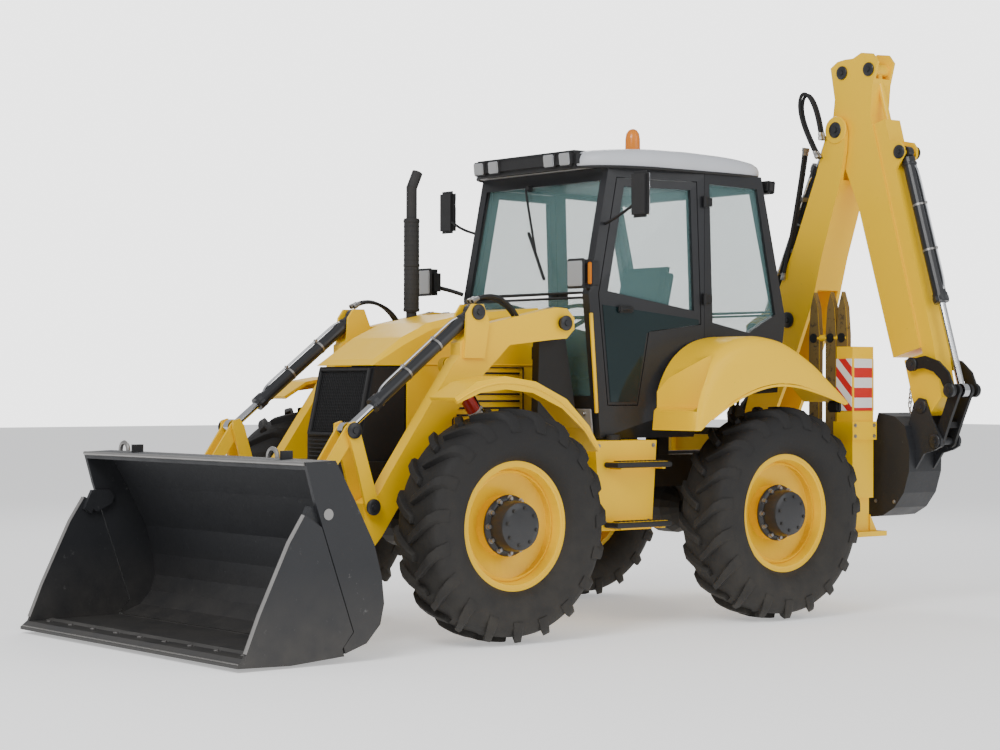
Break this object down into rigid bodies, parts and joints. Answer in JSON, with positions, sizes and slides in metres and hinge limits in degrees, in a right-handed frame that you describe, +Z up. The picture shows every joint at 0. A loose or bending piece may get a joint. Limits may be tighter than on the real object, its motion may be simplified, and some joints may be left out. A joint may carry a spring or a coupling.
{
  "type": "backhoe loader",
  "caption": "Four-wheel-steer backhoe loader with a two-part front bucket, hinged hood and cab doors, side-shift digging arm and sliding stabilisers.",
  "frame": {"origin": "Centre of the bounding box on the ground, at the bottom of the tyres.", "axes": "+Z up, the machine faces -Y with the loader bucket, its left side is +X; the folded backhoe is at +Y."},
  "size_m": [2.663, 5.53, 3.7095],
  "materials": {
    "machine_yellow": "satin",
    "frame_black": "satin",
    "engine_iron": "rough",
    "cab_grey": "satin",
    "roof_grey": "satin",
    "tyre_rubber": "matte",
    "bucket_charcoal": "satin",
    "barrel_charcoal": "satin",
    "rod_chrome": "polished"
  },
  "bodies": {
    "frame": {"main_frame": "frame_black", "engine": "engine_iron", "side_tanks": "machine_yellow", "cab_frame": "cab_grey", "cab_roof": "roof_grey", "operator_station": "frame_black", "rear_left_fender": "machine_yellow", "rear_right_fender": "machine_yellow", "front_left_fender": "machine_yellow", "front_right_fender": "machine_yellow", "front_axle": "frame_black", "rear_axle": "frame_black", "rear_frame": "machine_yellow"},
    "hood": {"hood": "machine_yellow"},
    "left_door": {"left_door": "cab_grey"},
    "right_door": {"right_door": "cab_grey"},
    "front_left_steering": {"front_left_knuckle": "frame_black"},
    "front_left_wheel": {"front_left_rim": "machine_yellow", "front_left_tyre": "tyre_rubber"},
    "front_right_steering": {"front_right_knuckle": "frame_black"},
    "front_right_wheel": {"front_right_rim": "machine_yellow", "front_right_tyre": "tyre_rubber"},
    "rear_left_steering": {"rear_left_knuckle": "frame_black"},
    "rear_left_wheel": {"rear_left_rim": "machine_yellow", "rear_left_tyre": "tyre_rubber"},
    "rear_right_steering": {"rear_right_knuckle": "frame_black"},
    "rear_right_wheel": {"rear_right_rim": "machine_yellow", "rear_right_tyre": "tyre_rubber"},
    "loader_arms": {"loader_arms": "machine_yellow"},
    "loader_bucket": {"loader_bucket": "bucket_charcoal"},
    "bucket_jaw": {"bucket_jaw": "bucket_charcoal"},
    "left_lever": {"left_lever": "machine_yellow"},
    "left_link": {"left_link": "machine_yellow"},
    "left_lift_barrel": {"left_lift_barrel": "barrel_charcoal"},
    "left_lift_rod": {"left_lift_rod": "rod_chrome"},
    "left_tilt_barrel": {"left_tilt_barrel": "barrel_charcoal"},
    "left_tilt_rod": {"left_tilt_rod": "rod_chrome"},
    "left_stabiliser": {"left_stabiliser": "machine_yellow"},
    "right_lever": {"right_lever": "machine_yellow"},
    "right_link": {"right_link": "machine_yellow"},
    "right_lift_barrel": {"right_lift_barrel": "barrel_charcoal"},
    "right_lift_rod": {"right_lift_rod": "rod_chrome"},
    "right_tilt_barrel": {"right_tilt_barrel": "barrel_charcoal"},
    "right_tilt_rod": {"right_tilt_rod": "rod_chrome"},
    "right_stabiliser": {"right_stabiliser": "machine_yellow"},
    "carriage": {"side_shift_carriage": "frame_black"},
    "kingpost": {"kingpost": "frame_black"},
    "boom": {"boom": "machine_yellow"},
    "boom_ram_barrel": {"boom_ram_barrel": "barrel_charcoal"},
    "boom_ram_rod": {"boom_ram_rod": "rod_chrome"},
    "dipper": {"dipper": "machine_yellow"},
    "stick_ram_barrel": {"stick_ram_barrel": "barrel_charcoal"},
    "stick_ram_rod": {"stick_ram_rod": "rod_chrome"},
    "dipper_extension": {"dipper_extension": "machine_yellow"},
    "digging_bucket": {"digging_bucket": "bucket_charcoal"},
    "guide_link": {"guide_link": "frame_black"},
    "tipping_link": {"tipping_link": "frame_black"},
    "scoop_ram_barrel": {"scoop_ram_barrel": "barrel_charcoal"},
    "scoop_ram_rod": {"scoop_ram_rod": "rod_chrome"}
  },
  "joints": [
    {"name": "hood_hinge", "type": "hinge", "parent": "frame", "child": "hood", "pos_m": [-0.1315, -1.29, 1.575], "axis": [1, 0, 0], "range_deg": [0, 60]},
    {"name": "left_door_hinge", "type": "hinge", "parent": "frame", "child": "left_door", "pos_m": [0.6025, 0.955, 2], "axis": [0, 0, 1], "range_deg": [0, 38]},
    {"name": "right_door_hinge", "type": "hinge", "parent": "frame", "child": "right_door", "pos_m": [-0.8655, 0.955, 2], "axis": [0, 0, -1], "range_deg": [0, 38]},
    {"name": "front_left_steer", "type": "hinge", "parent": "frame", "child": "front_left_steering", "pos_m": [0.5085, -0.845, 0.667], "axis": [0, 0, 1], "range_deg": [-8, 8]},
    {"name": "front_left_spin", "type": "hinge", "parent": "front_left_steering", "child": "front_left_wheel", "pos_m": [0.8185, -0.845, 0.667], "axis": [1, 0, 0], "continuous": true},
    {"name": "front_right_steer", "type": "hinge", "parent": "frame", "child": "front_right_steering", "pos_m": [-0.7715, -0.845, 0.667], "axis": [0, 0, 1], "range_deg": [-8, 8]},
    {"name": "front_right_spin", "type": "hinge", "parent": "front_right_steering", "child": "front_right_wheel", "pos_m": [-1.0815, -0.845, 0.667], "axis": [1, 0, 0], "continuous": true},
    {"name": "rear_left_steer", "type": "hinge", "parent": "frame", "child": "rear_left_steering", "pos_m": [0.5085, 1.325, 0.667], "axis": [0, 0, 1], "range_deg": [-8, 8]},
    {"name": "rear_left_spin", "type": "hinge", "parent": "rear_left_steering", "child": "rear_left_wheel", "pos_m": [0.8185, 1.325, 0.667], "axis": [1, 0, 0], "continuous": true},
    {"name": "rear_right_steer", "type": "hinge", "parent": "frame", "child": "rear_right_steering", "pos_m": [-0.7715, 1.325, 0.667], "axis": [0, 0, 1], "range_deg": [-8, 8]},
    {"name": "rear_right_spin", "type": "hinge", "parent": "rear_right_steering", "child": "rear_right_wheel", "pos_m": [-1.0815, 1.325, 0.667], "axis": [1, 0, 0], "continuous": true},
    {"name": "loader_lift", "type": "hinge", "parent": "frame", "child": "loader_arms", "pos_m": [-0.1315, -0.136, 1.836], "axis": [-1, 0, 0], "range_deg": [0, 80]},
    {"name": "bucket_tilt", "type": "hinge", "parent": "loader_arms", "child": "loader_bucket", "pos_m": [-0.1315, -1.775, 0.45], "axis": [1, 0, 0], "range_deg": [-25, 90]},
    {"name": "jaw_hinge", "type": "hinge", "parent": "loader_bucket", "child": "bucket_jaw", "pos_m": [-0.1315, -2.209, 0.786], "axis": [-1, 0, 0], "range_deg": [0, 45]},
    {"name": "left_lever_pivot", "type": "hinge", "parent": "loader_arms", "child": "left_lever", "pos_m": [0.4685, -1.55, 0.78], "axis": [1, 0, 0], "range_deg": [-24, 80]},
    {"name": "left_link_pivot", "type": "hinge", "parent": "loader_bucket", "child": "left_link", "pos_m": [0.4685, -1.965, 0.82], "axis": [1, 0, 0], "range_deg": [-72, 22]},
    {"name": "left_lift_barrel_pivot", "type": "hinge", "parent": "frame", "child": "left_lift_barrel", "pos_m": [0.2935, -0.295, 0.85], "axis": [-1, 0, 0], "range_deg": [0, 31]},
    {"name": "left_lift_rod_slide", "type": "slide", "parent": "left_lift_barrel", "child": "left_lift_rod", "axis": [0, -0.6012, 0.7991], "range_m": [0, 0.76]},
    {"name": "left_tilt_barrel_pivot", "type": "hinge", "parent": "loader_arms", "child": "left_tilt_barrel", "pos_m": [0.4685, -0.795, 1.888], "axis": [1, 0, 0], "range_deg": [-3, 8]},
    {"name": "left_tilt_rod_slide", "type": "slide", "parent": "left_tilt_barrel", "child": "left_tilt_rod", "axis": [0, -0.7938, -0.6081], "range_m": [-0.15, 0.52]},
    {"name": "left_stabiliser_slide", "type": "slide", "parent": "frame", "child": "left_stabiliser", "axis": [0, 0, -1], "range_m": [0, 0.46]},
    {"name": "right_lever_pivot", "type": "hinge", "parent": "loader_arms", "child": "right_lever", "pos_m": [-0.7315, -1.55, 0.78], "axis": [1, 0, 0], "range_deg": [-24, 80]},
    {"name": "right_link_pivot", "type": "hinge", "parent": "loader_bucket", "child": "right_link", "pos_m": [-0.7315, -1.965, 0.82], "axis": [1, 0, 0], "range_deg": [-72, 22]},
    {"name": "right_lift_barrel_pivot", "type": "hinge", "parent": "frame", "child": "right_lift_barrel", "pos_m": [-0.5565, -0.295, 0.85], "axis": [-1, 0, 0], "range_deg": [0, 31]},
    {"name": "right_lift_rod_slide", "type": "slide", "parent": "right_lift_barrel", "child": "right_lift_rod", "axis": [0, -0.6012, 0.7991], "range_m": [0, 0.76]},
    {"name": "right_tilt_barrel_pivot", "type": "hinge", "parent": "loader_arms", "child": "right_tilt_barrel", "pos_m": [-0.7315, -0.795, 1.888], "axis": [1, 0, 0], "range_deg": [-3, 8]},
    {"name": "right_tilt_rod_slide", "type": "slide", "parent": "right_tilt_barrel", "child": "right_tilt_rod", "axis": [0, -0.7938, -0.6081], "range_m": [-0.15, 0.52]},
    {"name": "right_stabiliser_slide", "type": "slide", "parent": "frame", "child": "right_stabiliser", "axis": [0, 0, -1], "range_m": [0, 0.46]},
    {"name": "side_shift", "type": "slide", "parent": "frame", "child": "carriage", "axis": [1, 0, 0], "range_m": [0, 1.12]},
    {"name": "backhoe_swing", "type": "hinge", "parent": "carriage", "child": "kingpost", "pos_m": [-0.6915, 2.605, 0.8], "axis": [0, 0, 1], "range_deg": [0, 180]},
    {"name": "boom_lift", "type": "hinge", "parent": "kingpost", "child": "boom", "pos_m": [-0.4915, 2.605, 0.85], "axis": [0, 1, 0], "range_deg": [0, 100]},
    {"name": "boom_ram_pivot", "type": "hinge", "parent": "kingpost", "child": "boom_ram_barrel", "pos_m": [-0.7315, 2.605, 1.25], "axis": [0, 1, 0], "range_deg": [0, 91]},
    {"name": "boom_ram_slide", "type": "slide", "parent": "boom_ram_barrel", "child": "boom_ram_rod", "axis": [0.6545, 0, 0.7561], "range_m": [0, 0.66]},
    {"name": "dipper_crowd", "type": "hinge", "parent": "boom", "child": "dipper", "pos_m": [0.2985, 2.605, 3.2], "axis": [0, -1, 0], "range_deg": [0, 105]},
    {"name": "stick_ram_pivot", "type": "hinge", "parent": "boom", "child": "stick_ram_barrel", "pos_m": [-0.4915, 2.605, 1.85], "axis": [0, -1, 0], "range_deg": [0, 11]},
    {"name": "stick_ram_slide", "type": "slide", "parent": "stick_ram_barrel", "child": "stick_ram_rod", "axis": [0.422, 0, 0.9066], "range_m": [-0.6, 0]},
    {"name": "dipper_extend", "type": "slide", "parent": "dipper", "child": "dipper_extension", "axis": [0.2672, 0, -0.9636], "range_m": [0, 1]},
    {"name": "digging_bucket_curl", "type": "hinge", "parent": "dipper_extension", "child": "digging_bucket", "pos_m": [1.0245, 2.605, 1.33], "axis": [0, -1, 0], "range_deg": [0, 100]},
    {"name": "guide_link_pivot", "type": "hinge", "parent": "dipper_extension", "child": "guide_link", "pos_m": [0.9655, 2.605, 1.605], "axis": [0, -1, 0], "range_deg": [0, 70]},
    {"name": "tipping_link_pivot", "type": "hinge", "parent": "digging_bucket", "child": "tipping_link", "pos_m": [1.1415, 2.605, 1.103], "axis": [0, -1, 0], "range_deg": [-80, 0]},
    {"name": "scoop_ram_pivot", "type": "hinge", "parent": "dipper_extension", "child": "scoop_ram_barrel", "pos_m": [0.8145, 2.605, 3.016], "axis": [0, -1, 0], "range_deg": [0, 4]},
    {"name": "scoop_ram_slide", "type": "slide", "parent": "scoop_ram_barrel", "child": "scoop_ram_rod", "axis": [0.285, 0, -0.9585], "range_m": [-0.42, 0]}
  ],
  "couplings": [
    {"joint": "front_right_steer", "follows": "front_left_steer", "ratio": 1},
    {"joint": "rear_right_steer", "follows": "rear_left_steer", "ratio": 1},
    {"joint": "left_lever_pivot", "follows": "bucket_tilt", "ratio": 0.87},
    {"joint": "left_link_pivot", "follows": "bucket_tilt", "ratio": -0.78},
    {"joint": "left_lift_barrel_pivot", "follows": "loader_lift", "ratio": 0.369},
    {"joint": "left_lift_rod_slide", "follows": "loader_lift", "m_per_rad": 0.529},
    {"joint": "left_tilt_barrel_pivot", "follows": "bucket_tilt", "ratio": 0.07},
    {"joint": "left_tilt_rod_slide", "follows": "bucket_tilt", "m_per_rad": 0.32},
    {"joint": "right_lever_pivot", "follows": "bucket_tilt", "ratio": 0.87},
    {"joint": "right_link_pivot", "follows": "bucket_tilt", "ratio": -0.78},
    {"joint": "right_lift_barrel_pivot", "follows": "loader_lift", "ratio": 0.369},
    {"joint": "right_lift_rod_slide", "follows": "loader_lift", "m_per_rad": 0.529},
    {"joint": "right_tilt_barrel_pivot", "follows": "bucket_tilt", "ratio": 0.07},
    {"joint": "right_tilt_rod_slide", "follows": "bucket_tilt", "m_per_rad": 0.32},
    {"joint": "boom_ram_pivot", "follows": "boom_lift", "ratio": 0.9},
    {"joint": "boom_ram_slide", "follows": "boom_lift", "m_per_rad": 0.3747},
    {"joint": "stick_ram_pivot", "follows": "dipper_crowd", "ratio": 0.1},
    {"joint": "stick_ram_slide", "follows": "dipper_crowd", "m_per_rad": -0.32},
    {"joint": "guide_link_pivot", "follows": "digging_bucket_curl", "ratio": 0.69},
    {"joint": "tipping_link_pivot", "follows": "digging_bucket_curl", "ratio": -0.78},
    {"joint": "scoop_ram_pivot", "follows": "digging_bucket_curl", "ratio": 0.03},
    {"joint": "scoop_ram_slide", "follows": "digging_bucket_curl", "m_per_rad": -0.2316}
  ]
}
